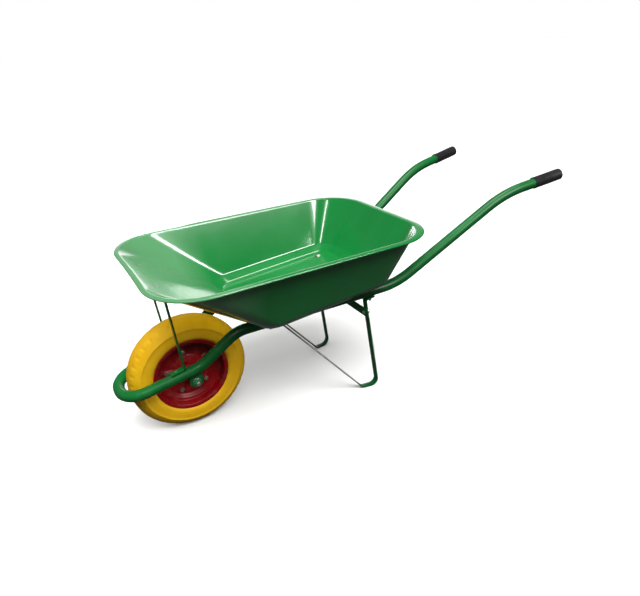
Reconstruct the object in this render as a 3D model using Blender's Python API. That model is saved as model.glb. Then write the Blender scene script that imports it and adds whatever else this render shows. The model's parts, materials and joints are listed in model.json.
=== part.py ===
"""Steel wheelbarrow: a pressed tray on one bent tube that runs from handle to handle round the wheel.

Metres. X runs from the wheel to the handles, Y across (left is -Y for the person pushing), Z up from
the ground. The origin is on the ground under the middle of the barrow.
"""

import math

import bmesh
import bpy
from mathutils import Matrix, Quaternion, Vector

# Overall sizes
overall_length = 1.440
tray_width = 0.566
tray_length = 0.841
tyre_diameter = 0.350
tyre_width = 0.082
tube_diameter = 0.032

# Fits
touch_gap = 0.0003
running_gap = 0.0004
bolt_hole_play = 0.0005

# Frame tube. Heights are above the axle, distances along X are measured back from the axle.
tube_wall = 0.0015
hoop_front_gap = 0.007
hoop_side_gap = 0.011
frame_side_gap = 0.0175
frame_spread = 0.145
hoop_slope = 0.20
bracket_drop = 0.0235
front_bend_x = 0.019
floor_front_bend_x = 0.128
floor_rear_bend_x = 0.635
handle_length = 0.212
handle_bend_height = 0.407
handle_end_height = 0.442
handle_half_spread = 0.246
hoop_bend_radius = 0.064
front_bend_radius = 0.10
rear_bend_radius = 0.22
handle_bend_radius = 0.35

# Grips
grip_length = 0.102
grip_wall = 0.0022
grip_end_wall = 0.004

# Tray
sheet = 0.0012
floor_height = 0.134
floor_slope = 0.0925
floor_front = 0.182
floor_rear = 0.585
floor_half_width = 0.183
floor_corner_radius = 0.048
cove = 0.021
rim_front = -0.124
rim_height = 0.343
rim_slope = 0.015
rim_rear_narrowing = 0.008
flange_width = 0.022
side_flange_width = 0.018
front_flange_width = 0.014
flange_bend_radius = 0.006
lip_radius = 0.003
rim_front_radius = 0.150
rim_rear_radius = 0.135
mouth_rear_radius = 0.130
front_bow = 0.008

# Legs: one flat bar a side, bent into tab, leg, foot, strut and tab
leg_width = 0.018
leg_thickness = 0.005
leg_top_x = 0.527
heel_x = 0.572
toe_x = 0.518
strut_top_x = 0.262
leg_tab_length = 0.030
strut_tab_length = 0.040
heel_radius = 0.022
toe_radius = 0.016
tab_bend_radius = 0.010
brace_height = 0.030
brace_thickness = 0.004
brace_overhang = 0.018
brace_drop = 0.047

# Front stays
stay_width = 0.020
stay_thickness = 0.004
stay_top_x = -0.052
stay_top_half_spread = 0.084
stay_foot_x = -0.028
stay_tab_length = 0.040
stay_bend_radius = 0.008

# Axle and wheel. Across the wheel, distances are measured from its middle.
axle_radius = 0.006
bracket_width = 0.038
bracket_thickness = 0.005
bearing_radius = 0.016
bearing_width = 0.010
bearing_inside = 0.0135
race_radius = 0.009
sleeve_radius = 0.010
rim_sheet = 0.002
rim_flange_radius = 0.1115
rim_seat_radius = 0.1005
rim_half_width = 0.0375
seat_taper = 0.0008
rim_bolt_circle = 0.065
rim_bolt_count = 5
rim_bolt_first_angle = 28
cover_radius = 0.0215
cover_thickness = 0.0045

# Fasteners: shank radius, head or nut across corners, heights
bolt_radius = 0.004
nut_corner_radius = 0.0075
nut_height = 0.0065
head_height = 0.0053
cup_head_radius = 0.0095
cup_head_height = 0.0045
rivet_radius = 0.0032
rivet_head_radius = 0.0064
rivet_head_height = 0.0018
axle_nut_corner_radius = 0.0109
axle_nut_height = 0.010
axle_washer_radius = 0.0125
axle_washer_thickness = 0.0025

# Facets
tube_bevel_resolution = 4
wheel_sides = 36
hub_sides = 24
small_sides = 16
bolt_sides = 12
corner_steps = 6
tube_facet_angle = 13
bar_facet_angle = 35

# Worked-out sizes
tube_radius = tube_diameter / 2
tyre_radius = tyre_diameter / 2
axle_height = tyre_radius
hoop_front = -(tyre_radius + hoop_front_gap + tube_radius)
axle_x = -overall_length / 2 - hoop_front + tube_radius
grip_bore = (tube_radius + touch_gap) / math.cos(math.pi / small_sides)
grip_radius = grip_bore + grip_wall
grip_end_rounding = grip_end_wall * 0.75
handle_slope = (handle_end_height - handle_bend_height) / handle_length
grip_end_reach = grip_end_wall + (grip_radius - grip_end_rounding) * handle_slope
tube_end_x = overall_length / 2 - axle_x - grip_end_reach
hoop_half_width = tyre_width / 2 + hoop_side_gap + tube_radius
frame_half_width = tyre_width / 2 + frame_side_gap + tube_radius
floor_lean = math.hypot(1, floor_slope)
hoop_lean = math.hypot(1, hoop_slope)
floor_normal = Vector((-floor_slope, 0, 1)).normalized()
hoop_normal = Vector((-hoop_slope, 0, 1)).normalized()
sides = {"left": -1, "right": 1}


def frame_y(x):
    """Distance of the tube's axis from the middle, behind the front bend."""
    return frame_half_width + frame_spread * x


def wheel_side_y(x):
    """The same beside the wheel, where the two sides close in on the hoop."""
    share = (x - hoop_front) / (front_bend_x - hoop_front)
    return hoop_half_width + share * (frame_y(front_bend_x) - hoop_half_width)


def floor_underside(x):
    return axle_height + floor_height + floor_slope * x


def tube_under_floor(x):
    return floor_underside(x) - (tube_radius + touch_gap) * floor_lean


def hoop_axis(x):
    return axle_height + tube_radius + bracket_drop + hoop_slope * x


def rim_level(x):
    return axle_height + rim_height + rim_slope * x


def make_material(name, colour, roughness, metallic):
    material = bpy.data.materials.new(name)
    material.use_nodes = True
    shader = material.node_tree.nodes["Principled BSDF"]
    shader.inputs["Base Color"].default_value = (*colour, 1)
    shader.inputs["Roughness"].default_value = roughness
    shader.inputs["Metallic"].default_value = metallic
    return material


def add_object(name, mesh_data, material, parent):
    piece = bpy.data.objects.new(name, mesh_data)
    bpy.context.collection.objects.link(piece)
    if material:
        mesh_data.materials.append(material)
    piece.parent = parent
    return piece


def object_from_bmesh(name, bm, material, parent=None):
    mesh = bpy.data.meshes.new(name)
    bm.to_mesh(mesh)
    bm.free()
    mesh.shade_smooth()
    mesh.set_sharp_from_angle(angle=math.radians(35))
    return add_object(name, mesh, material, parent)


def bent_path(corners, facet_angle):
    """Points along straight runs joined by arcs. Each corner is a point and its bend radius."""
    points = [corners[0][0]]
    for (before, _), (corner, radius), (after, _) in zip(corners, corners[1:], corners[2:]):
        back = (before - corner).normalized()
        ahead = (after - corner).normalized()
        half_angle = back.angle(ahead) / 2
        centre = corner + (back + ahead).normalized() * radius / math.sin(half_angle)
        spoke = corner + back * radius / math.tan(half_angle) - centre
        axis = ahead.cross(back)
        turn = math.pi - 2 * half_angle
        steps = max(2, math.ceil(math.degrees(turn) / facet_angle))
        for step in range(steps + 1):
            points.append(centre + Quaternion(axis, turn * step / steps) @ spoke)
    points.append(corners[-1][0])
    return points


def turned(name, profile, facets, material, parent, hexagon_radius=None):
    """A solid turned about local Z from a closed outline of (radius, height) points.

    With hexagon_radius, points at that radius become a hexagon with those corners.
    """
    bm = bmesh.new()
    verts = [bm.verts.new((radius, 0, height)) for radius, height in profile]
    for first, second in zip(verts, verts[1:] + verts[:1]):
        if first.co.x > 0 or second.co.x > 0:
            bm.edges.new((first, second))
    bmesh.ops.spin(
        bm, geom=bm.verts[:] + bm.edges[:], cent=(0, 0, 0), axis=(0, 0, 1),
        angle=2 * math.pi, steps=facets, use_merge=True,
    )
    bmesh.ops.remove_doubles(bm, verts=bm.verts, dist=1e-6)
    if hexagon_radius:
        flat_radius = hexagon_radius * math.cos(math.pi / 6)
        for vert in bm.verts:
            at_corner = round(math.degrees(math.atan2(vert.co.y, vert.co.x)) / 30) % 2 == 0
            if abs(vert.co.xy.length - hexagon_radius) < 1e-6 and not at_corner:
                vert.co.xy = vert.co.xy.normalized() * flat_radius
    bmesh.ops.recalc_face_normals(bm, faces=bm.faces)
    return object_from_bmesh(name, bm, material, parent)


def point_along(piece, at, direction):
    piece.location = at
    piece.rotation_euler = Vector(direction).to_track_quat("Z", "Y").to_euler()
    return piece


def drill(piece, at, direction, radius, depth):
    """Cuts a round hole through a piece, centred on a point."""
    bm = bmesh.new()
    bmesh.ops.create_cone(
        bm, segments=bolt_sides, radius1=radius, radius2=radius, depth=depth, cap_ends=True
    )
    cutter = object_from_bmesh(f"{piece.name}_hole", bm, None, piece.parent)
    point_along(cutter, at, direction)
    cutter.hide_render = True
    cutter.display_type = "WIRE"
    hole = piece.modifiers.new("hole", "BOOLEAN")
    hole.operation = "DIFFERENCE"
    hole.solver = "EXACT"
    hole.object = cutter


def add_bolt(name, at, direction, grip, material, parent, cup_head=False):
    """A bolt whose head rests at a point, with its shank running along a direction."""
    tip = -(grip + nut_height + bolt_radius)
    if cup_head:
        head = [(0, cup_head_height), (cup_head_radius * 0.6, cup_head_height * 0.8), (cup_head_radius, 0)]
    else:
        head = [(0, head_height), (nut_corner_radius, head_height), (nut_corner_radius, 0)]
    profile = head + [(bolt_radius, 0), (bolt_radius, tip), (0, tip)]
    corner_radius = None if cup_head else nut_corner_radius
    bolt = turned(name, profile, bolt_sides, material, parent, corner_radius)
    return point_along(bolt, at, -Vector(direction))


def add_nut(name, at, direction, material, parent):
    """A nut that rests at a point and stands out along a direction."""
    bore = bolt_radius + touch_gap
    profile = [(bore, 0), (nut_corner_radius, 0), (nut_corner_radius, nut_height), (bore, nut_height)]
    nut = turned(name, profile, bolt_sides, material, parent, nut_corner_radius)
    return point_along(nut, at, direction)


def add_rivet(name, at, direction, grip, material, parent):
    """A blind rivet whose head rests at a point, with its body through a tab and one tube wall."""
    tail = -(grip + 2 * rivet_radius)
    profile = [
        (0, rivet_head_height), (rivet_head_radius * 0.6, rivet_head_height * 0.8),
        (rivet_head_radius, 0), (rivet_radius, 0), (rivet_radius, tail), (0, tail),
    ]
    rivet = turned(name, profile, bolt_sides, material, parent)
    return point_along(rivet, at, -Vector(direction))


def bent_strip(name, corners, thickness, width, centre_y, material, parent):
    """A flat bar bent along a path in the XZ plane, its width across Y and its middle at centre_y."""
    path = bent_path(corners, bar_facet_angle)
    outline = []
    for sign in (1, -1):
        edge = []
        for index, point in enumerate(path):
            before = path[max(index - 1, 0)]
            after = path[min(index + 1, len(path) - 1)]
            along = (after - before).normalized()
            edge.append(point + sign * thickness / 2 * Vector((-along.z, 0, along.x)))
        outline += edge[::sign]
    bm = bmesh.new()
    face = bm.faces.new([bm.verts.new(point) for point in outline])
    walls = bmesh.ops.extrude_face_region(bm, geom=[face])["geom"]
    across = {vert for vert in walls if isinstance(vert, bmesh.types.BMVert)}
    for vert in bm.verts:
        vert.co.y = centre_y(vert.co) + (width / 2 if vert in across else -width / 2)
    bmesh.ops.recalc_face_normals(bm, faces=bm.faces)
    return object_from_bmesh(name, bm, material, parent)


def build_frame_tube(material, parent):
    def corner(x, y, z):
        return Vector((x, y, z))

    rear_x = floor_rear_bend_x
    bend_x = tube_end_x - handle_length
    half = [
        (corner(tube_end_x, handle_half_spread, axle_height + handle_end_height), 0),
        (corner(bend_x, frame_y(bend_x), axle_height + handle_bend_height), handle_bend_radius),
        (corner(rear_x, frame_y(rear_x), tube_under_floor(rear_x)), rear_bend_radius),
        (corner(floor_front_bend_x, frame_y(floor_front_bend_x), tube_under_floor(floor_front_bend_x)),
         front_bend_radius),
        (corner(front_bend_x, frame_y(front_bend_x), hoop_axis(front_bend_x)), front_bend_radius),
        (corner(hoop_front, hoop_half_width, hoop_axis(hoop_front)), hoop_bend_radius),
    ]
    mirrored = [(Vector((point.x, -point.y, point.z)), radius) for point, radius in reversed(half)]
    curve = bpy.data.curves.new("frame_tube", "CURVE")
    curve.dimensions = "3D"
    curve.bevel_depth = tube_radius
    curve.bevel_resolution = tube_bevel_resolution
    path = bent_path(half + mirrored, tube_facet_angle)
    spline = curve.splines.new("POLY")
    spline.points.add(len(path) - 1)
    for spline_point, point in zip(spline.points, path):
        spline_point.co = (*point, 1)
        spline_point.radius = 1
    tube = add_object("frame_tube", curve, material, parent)
    bpy.ops.object.select_all(action="DESELECT")
    tube.select_set(True)
    bpy.context.view_layer.objects.active = tube
    bpy.ops.object.convert(target="MESH")
    tube.data.shade_smooth()
    wall = tube.modifiers.new("wall", "SOLIDIFY")
    wall.thickness = tube_wall
    wall.offset = -1
    return tube


def add_grip(name, sign, material, parent):
    """A closed sleeve pushed on the end of the tube."""
    bend_x = tube_end_x - handle_length
    end = Vector((tube_end_x, sign * handle_half_spread, axle_height + handle_end_height))
    bend = Vector((bend_x, sign * frame_y(bend_x), axle_height + handle_bend_height))
    profile = [
        (grip_bore, -grip_length), (grip_radius, -grip_length),
        (grip_radius, grip_end_wall - grip_end_rounding),
        (grip_radius - grip_end_rounding, grip_end_wall), (0, grip_end_wall),
        (0, touch_gap), (grip_bore, touch_gap),
    ]
    grip = turned(name, profile, small_sides, material, parent)
    return point_along(grip, end, end - bend)


def tray_ring(front, rear, half_front, half_rear, radius_front, radius_rear, bow, level):
    """One closed ring of the tray, anticlockwise from above, from the front right corner."""
    points = []
    corners = (
        (front + radius_front, half_front - radius_front, radius_front, 90),
        (front + radius_front, -half_front + radius_front, radius_front, 180),
        (rear - radius_rear, -half_rear + radius_rear, radius_rear, 270),
        (rear - radius_rear, half_rear - radius_rear, radius_rear, 0),
    )
    for index, (x, y, radius, start) in enumerate(corners):
        arc = []
        for step in range(corner_steps + 1):
            angle = math.radians(start + 90 * step / corner_steps)
            arc.append(Vector((x + radius * math.cos(angle), y + radius * math.sin(angle), 0)))
        following = corners[(index + 1) % 4]
        start_next = math.radians(following[3])
        next_point = Vector((
            following[0] + following[2] * math.cos(start_next),
            following[1] + following[2] * math.sin(start_next), 0,
        ))
        arc += [arc[-1].lerp(next_point, step / 4) for step in (1, 2, 3)]
        points += arc
    for point in points:
        nearness = max(0.0, 1 - (point.x - front) / radius_front)
        point.x += bow * nearness * max(0.0, 1 - (point.y / half_front) ** 2)
        point.z = level(point.x)
    return points


def inside_edge(offset, width):
    """How far inside the rim's edge a ring runs where the flange has this width."""
    flat = flange_width - lip_radius - flange_bend_radius
    share = min(max((offset - flange_bend_radius) / flat, 0), 1)
    return width + share * (flange_width - width) - offset


def mouth_ring(offset, drop):
    """A ring at the rim, a given distance outside the mouth and below the rim's level."""
    front = inside_edge(offset, front_flange_width)
    side = inside_edge(offset, side_flange_width)
    rear = inside_edge(offset, flange_width)
    rear_radius = rim_rear_radius - rear * (rim_rear_radius - mouth_rear_radius) / flange_width
    return tray_ring(
        rim_front + front, rim_front + tray_length - rear,
        tray_width / 2 - side, tray_width / 2 - rim_rear_narrowing - side,
        rim_front_radius - (front + side) / 2, rear_radius,
        front_bow, lambda x: rim_level(x) - drop,
    )


def floor_ring(grow, rise):
    """A ring round the floor, a given distance outside its edge and above it."""
    return tray_ring(
        floor_front - grow, floor_rear + grow, floor_half_width + grow, floor_half_width + grow,
        floor_corner_radius + grow * 0.6, floor_corner_radius + grow * 0.6, 0,
        lambda x: floor_underside(x) + sheet * floor_lean + rise,
    )


def front_wall_point(x, y):
    """Height of the inside of the tray's front wall, and its direction up the slope."""
    crease_x = floor_front - cove
    crease = Vector((crease_x, 0, floor_underside(crease_x) + sheet * floor_lean + cove))
    bow = front_bow * (1 - (y / (tray_width / 2 - side_flange_width)) ** 2)
    top_x = rim_front + front_flange_width + bow
    top = Vector((top_x, 0, rim_level(top_x) - flange_bend_radius))
    along = (top - crease).normalized()
    return crease + along * (x - crease_x) / along.x, along


def build_tray(material, parent):
    rings = [floor_ring(0, 0), floor_ring(cove, cove), mouth_ring(0, flange_bend_radius)]
    for angle in (45, 90):
        turn = math.radians(angle)
        out = flange_bend_radius * (1 - math.cos(turn))
        rings.append(mouth_ring(out, flange_bend_radius * (1 - math.sin(turn))))
    for angle in (90, 45, 0, -45, -90):
        turn = math.radians(angle)
        out = flange_width - lip_radius + lip_radius * math.cos(turn)
        rings.append(mouth_ring(out, lip_radius * (1 - math.sin(turn))))
    bm = bmesh.new()
    loops = [[bm.verts.new(point) for point in ring] for ring in rings]
    bm.faces.new(loops[0])
    for inner, outer in zip(loops, loops[1:]):
        for index in range(len(inner)):
            following = (index + 1) % len(inner)
            bm.faces.new((inner[index], outer[index], outer[following], inner[following]))
    bmesh.ops.recalc_face_normals(bm, faces=bm.faces)
    floor = min(bm.faces, key=lambda face: face.calc_center_median().z)
    if floor.normal.z < 0:
        bmesh.ops.reverse_faces(bm, faces=bm.faces)
    bmesh.ops.triangulate(bm, faces=bm.faces)
    tray = object_from_bmesh("tray", bm, material, parent)
    thickness = tray.modifiers.new("sheet", "SOLIDIFY")
    thickness.thickness = sheet
    thickness.offset = -1
    thickness.use_even_offset = True
    return tray


def leg_corners():
    """The leg's bends in its own plane: top tab, leg, foot, strut and front tab."""
    def tab_height(x):
        return tube_under_floor(x) - (tube_radius + touch_gap + leg_thickness / 2) * floor_lean

    foot = leg_thickness / 2
    return [
        (Vector((leg_top_x + leg_tab_length, 0, tab_height(leg_top_x + leg_tab_length))), 0),
        (Vector((leg_top_x, 0, tab_height(leg_top_x))), tab_bend_radius),
        (Vector((heel_x, 0, foot)), heel_radius),
        (Vector((toe_x, 0, foot)), toe_radius),
        (Vector((strut_top_x, 0, tab_height(strut_top_x))), tab_bend_radius),
        (Vector((strut_top_x - strut_tab_length, 0, tab_height(strut_top_x - strut_tab_length))), 0),
    ]


def brace_seat():
    """The point on the leg's own middle line where the brace crosses, and the leg's down and front."""
    top = leg_corners()[1][0]
    heel = leg_corners()[2][0]
    down = (heel - top).normalized()
    front = Vector((down.z, 0, -down.x))
    return top + down * brace_drop, down, front


def build_side(side, sign, tube, tray, brace, finishes, parent):
    """Grip, leg, stay, bracket and their fasteners on one side, with the holes they need."""
    green = finishes["green"]
    zinc = finishes["zinc"]
    hole = bolt_radius + bolt_hole_play

    add_grip(f"grip_{side}", sign, finishes["grip"], parent)

    leg = bent_strip(
        f"leg_{side}", leg_corners(), leg_thickness, leg_width,
        lambda point: sign * frame_y(point.x), green, parent,
    )

    # The leg bolt runs through tray floor, tube and leg tab.
    bolt_x = leg_top_x + leg_tab_length / 2
    on_axis = Vector((bolt_x, sign * frame_y(bolt_x), tube_under_floor(bolt_x)))
    above = tube_radius + 2 * touch_gap + sheet
    below = tube_radius + 2 * touch_gap + leg_thickness
    head_seat = on_axis + floor_normal * above
    add_bolt(f"leg_bolt_{side}", head_seat, -floor_normal, above + below, zinc, parent, cup_head=True)
    add_nut(f"leg_nut_{side}", on_axis - floor_normal * below, -floor_normal, zinc, parent)
    for piece in (tray, tube, leg):
        drill(piece, on_axis, floor_normal, hole, 4 * tube_diameter)

    # The strut's tab is riveted to the tube from below.
    rivet_x = strut_top_x - strut_tab_length / 2
    on_axis = Vector((rivet_x, sign * frame_y(rivet_x), tube_under_floor(rivet_x)))
    rivet_seat = on_axis - floor_normal * below
    add_rivet(f"strut_rivet_{side}", rivet_seat, floor_normal, leg_thickness + tube_wall, zinc, parent)
    for piece in (tube, leg):
        drill(piece, on_axis - floor_normal * tube_radius, floor_normal,
              rivet_radius + touch_gap, tube_radius)

    # The brace lies on the front of the legs.
    middle, _, front = brace_seat()
    middle.y = sign * frame_y(middle.x)
    before = leg_thickness / 2 + 2 * touch_gap + brace_thickness
    behind = leg_thickness / 2 + touch_gap
    add_bolt(f"brace_bolt_{side}", middle + front * before, -front, before + behind, zinc, parent)
    add_nut(f"brace_nut_{side}", middle - front * behind, -front, zinc, parent)
    for piece in (brace, leg):
        drill(piece, middle, front, hole, 4 * leg_thickness)

    # The stay stands on the tube beside the wheel and lies on the tray's front wall at its top.
    wall, along = front_wall_point(stay_top_x, stay_top_half_spread)
    under = Vector((-along.z, 0, along.x))
    if under.z > 0:
        under = -under
    wall_gap = 2 * touch_gap
    top_bend = wall + under * (sheet + wall_gap + stay_thickness / 2)
    top_end = top_bend + along * stay_tab_length

    def foot_point(x):
        return Vector((x, 0, hoop_axis(x) + (tube_radius + touch_gap + stay_thickness / 2) * hoop_lean))

    foot_bend = foot_point(stay_foot_x)
    foot_end = foot_point(stay_foot_x - stay_tab_length)
    foot_y = wheel_side_y(stay_foot_x - stay_tab_length / 2)

    def stay_y(point):
        share = max(0.0, (point.z - foot_bend.z - stay_thickness) / (top_bend.z - foot_bend.z))
        return sign * (foot_y + min(share, 1.0) * (stay_top_half_spread - foot_y))

    stay = bent_strip(
        f"stay_{side}",
        [(top_end, 0), (top_bend, stay_bend_radius), (foot_bend, stay_bend_radius), (foot_end, 0)],
        stay_thickness, stay_width, stay_y, green, parent,
    )
    bolt_point = wall + along * stay_tab_length / 2
    bolt_point.y = sign * stay_top_half_spread
    grip = sheet + 2 * wall_gap + stay_thickness
    head_seat = bolt_point - under * 3 * touch_gap
    add_bolt(f"stay_bolt_{side}", head_seat, under, grip, zinc, parent, cup_head=True)
    add_nut(f"stay_nut_{side}", bolt_point + under * grip, under, zinc, parent)
    for piece in (tray, stay):
        drill(piece, bolt_point, under, hole, 6 * stay_thickness)

    rivet_x = stay_foot_x - stay_tab_length / 2
    on_axis = Vector((rivet_x, sign * foot_y, hoop_axis(rivet_x)))
    reach = tube_radius + 2 * touch_gap + stay_thickness
    add_rivet(f"stay_rivet_{side}", on_axis + hoop_normal * reach, -hoop_normal,
              stay_thickness + tube_wall, zinc, parent)
    for piece in (tube, stay):
        drill(piece, on_axis + hoop_normal * tube_radius, hoop_normal,
              rivet_radius + touch_gap, tube_radius)

    add_bracket(f"axle_bracket_{side}", sign, green, parent)


def add_bracket(name, sign, material, parent):
    """The plate under the tube that holds the axle: a square top under the tube and a round end below."""
    half = bracket_width / 2
    seat = (tube_radius + touch_gap) * hoop_lean
    outline = []
    for x in (half, -half):
        outline.append(Vector((x, 0, hoop_axis(x) - seat)))
    for step in range(13):
        angle = math.pi + math.pi * step / 12
        outline.append(Vector((half * math.cos(angle), 0, axle_height + half * math.sin(angle))))
    bm = bmesh.new()
    face = bm.faces.new([bm.verts.new(point) for point in outline])
    bmesh.ops.extrude_face_region(bm, geom=[face])
    middle = sign * wheel_side_y(0)
    for index, vert in enumerate(bm.verts):
        beyond = 1 if index >= len(outline) else -1
        vert.co.y = middle + beyond * bracket_thickness / 2
    bmesh.ops.recalc_face_normals(bm, faces=bm.faces)
    bracket = object_from_bmesh(name, bm, material, parent)
    drill(bracket, Vector((0, middle, axle_height)), (0, 1, 0), axle_radius + bolt_hole_play, 0.05)


def build_brace(material, parent):
    """Flat bar on edge across the front of both legs."""
    on_leg, down, front = brace_seat()
    middle = on_leg + front * (leg_thickness / 2 + touch_gap + brace_thickness / 2)
    half_span = frame_y(on_leg.x) + brace_overhang
    bm = bmesh.new()
    bmesh.ops.create_cube(bm, size=1)
    bmesh.ops.scale(bm, vec=(brace_thickness, 2 * half_span, brace_height), verts=bm.verts)
    bmesh.ops.bevel(
        bm, geom=[edge for edge in bm.edges if abs(edge.verts[0].co.x - edge.verts[1].co.x) > 1e-6],
        offset=0.004, segments=3, affect="EDGES", profile=0.5,
    )
    brace = object_from_bmesh("leg_brace", bm, material, parent)
    brace.location = middle
    rear = -front
    up = -down
    brace.rotation_euler = Matrix(((rear.x, 0, up.x), (0, 1, 0), (rear.z, 0, up.z))).to_euler()
    return brace


def build_axle(finishes, parent):
    """Axle, nuts, washers, sleeves, the spacer and the inner rings that are clamped on it."""
    zinc = finishes["zinc"]
    bracket_y = wheel_side_y(0)
    outer_face = bracket_y + bracket_thickness / 2
    inner_face = bracket_y - bracket_thickness / 2
    half = outer_face + axle_washer_thickness + axle_nut_height + 3 * touch_gap + bolt_radius
    chamfer = axle_radius / 6
    profile = [(0, half), (axle_radius - chamfer, half), (axle_radius, half - chamfer)]
    profile += [(radius, -height) for radius, height in reversed(profile)]
    axle = turned("axle", profile, small_sides, zinc, parent)
    point_along(axle, (0, 0, axle_height), (0, 1, 0))

    def tube_piece(name, inside, outside, start, end, direction, hexagon=None, facets=small_sides):
        outline = [(inside, start), (outside, start), (outside, end), (inside, end)]
        piece = turned(name, outline, facets, zinc, parent, hexagon)
        return point_along(piece, (0, 0, axle_height), (0, direction, 0))

    bore = axle_radius + touch_gap
    bearing_outside = bearing_inside + bearing_width
    tube_piece("bearing_spacer", bore, race_radius - touch_gap, touch_gap - bearing_inside,
               bearing_inside - touch_gap, 1)
    for side, sign in sides.items():
        tube_piece(f"axle_sleeve_{side}", bore, sleeve_radius, bearing_outside + touch_gap,
                   inner_face - touch_gap, sign)
        ring = tube_piece(f"bearing_inner_{side}", bore, race_radius, bearing_inside, bearing_outside,
                          sign, facets=hub_sides)
        ring.data.materials[0] = finishes["bearing"]
        washer_start = outer_face + touch_gap
        washer_end = washer_start + axle_washer_thickness
        tube_piece(f"axle_washer_{side}", axle_radius + bolt_hole_play, axle_washer_radius, washer_start,
                   washer_end, sign)
        tube_piece(f"axle_nut_{side}", bore, axle_nut_corner_radius, washer_end + touch_gap,
                   washer_end + touch_gap + axle_nut_height, sign, axle_nut_corner_radius, bolt_sides)


def rim_profile():
    """Half a pressed rim, as (radius, distance from the wheel's middle) round its section."""
    cup = bearing_radius + touch_gap
    cup_end = bearing_inside + bearing_width + touch_gap
    flat_start = 0.052
    flat_end = 0.080
    well_depth = 0.0125
    flange_start = rim_half_width - 0.0025
    bearing_lip = 0.0025
    seat_inside = rim_seat_radius - rim_sheet
    visible = [
        (bearing_radius - bearing_lip, cup_end + rim_sheet), (cup + rim_sheet, cup_end + rim_sheet),
        (cup + rim_sheet, bearing_inside), (flat_start, rim_sheet + touch_gap),
        (flat_end, rim_sheet + touch_gap), (seat_inside, well_depth),
        (seat_inside + seat_taper, flange_start), (rim_flange_radius, rim_half_width),
    ]
    hidden = [
        (rim_flange_radius, rim_half_width - rim_sheet),
        (rim_seat_radius + seat_taper, flange_start - rim_sheet * 0.75),
        (rim_seat_radius, well_depth - rim_sheet), (flat_end + rim_sheet / 4, touch_gap),
        (flat_start - rim_sheet / 4, touch_gap), (cup, bearing_inside - rim_sheet * 0.75),
        (cup, cup_end), (bearing_radius - bearing_lip, cup_end),
    ]
    return visible + hidden


def tyre_profile():
    """The tyre's section: a bore on the rim's seat, beads between its flanges, and a round tread."""
    bore = rim_seat_radius + seat_taper + 2 * touch_gap
    bead_half = rim_half_width - 0.005
    half = tyre_width / 2
    flange_top = rim_flange_radius + 0.0007
    height = tyre_radius - flange_top
    one_side = [
        (bore, bead_half), (rim_flange_radius - 0.0003, bead_half + 0.0022),
        (flange_top, bead_half + 0.0036), (flange_top + 0.09 * height, half - 0.0010),
        (flange_top + 0.36 * height, half), (flange_top + 0.68 * height, half - 0.0005),
        (flange_top + 0.86 * height, half - 0.0045), (flange_top + 0.952 * height, half - 0.0120),
        (tyre_radius - 0.0005, half - 0.0230),
    ]
    other_side = [(radius, -across) for radius, across in reversed(one_side)]
    return one_side + [(tyre_radius, 0)] + other_side


def build_wheel(finishes):
    """Tyre, two half rims and what is fixed to them, all hung from an empty on the axle."""
    hub = bpy.data.objects.new("wheel_pivot", None)
    bpy.context.collection.objects.link(hub)
    hub.location = (axle_x, 0, axle_height)
    zinc = finishes["zinc"]
    tyre = turned("tyre", tyre_profile(), wheel_sides, finishes["tyre"], hub)
    point_along(tyre, (0, 0, 0), (0, 1, 0))
    rims = {}
    for side, sign in sides.items():
        rim = turned(f"rim_{side}", rim_profile(), wheel_sides, finishes["rim"], hub)
        rims[side] = point_along(rim, (0, 0, 0), (0, sign, 0))
        ring_outline = [
            (race_radius + running_gap, bearing_inside), (bearing_radius, bearing_inside),
            (bearing_radius, bearing_inside + bearing_width),
            (race_radius + running_gap, bearing_inside + bearing_width),
        ]
        ring = turned(f"bearing_outer_{side}", ring_outline, hub_sides, finishes["bearing"], hub)
        point_along(ring, (0, 0, 0), (0, sign, 0))
        start = bearing_inside + bearing_width + rim_sheet + 3 * touch_gap
        cover_outline = [
            (sleeve_radius + running_gap, start), (cover_radius, start),
            (cover_radius, start + cover_thickness * 0.6), (cover_radius - 0.002, start + cover_thickness),
            (sleeve_radius + running_gap, start + cover_thickness),
        ]
        cover = turned(f"hub_cover_{side}", cover_outline, hub_sides, finishes["cover"], hub)
        point_along(cover, (0, 0, 0), (0, sign, 0))
    face = rim_sheet + 2 * touch_gap
    for index in range(rim_bolt_count):
        angle = math.radians(rim_bolt_first_angle + 360 * index / rim_bolt_count)
        at = Vector((rim_bolt_circle * math.cos(angle), 0, rim_bolt_circle * math.sin(angle)))
        left_seat = at - Vector((0, face, 0))
        add_bolt(f"rim_bolt_{index + 1}", left_seat, (0, 1, 0), 2 * face, zinc, hub)
        add_nut(f"rim_nut_{index + 1}", at + Vector((0, face, 0)), (0, 1, 0), zinc, hub)
        for rim in rims.values():
            drill(rim, at, (0, 1, 0), bolt_radius + bolt_hole_play, 10 * rim_sheet)


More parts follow.
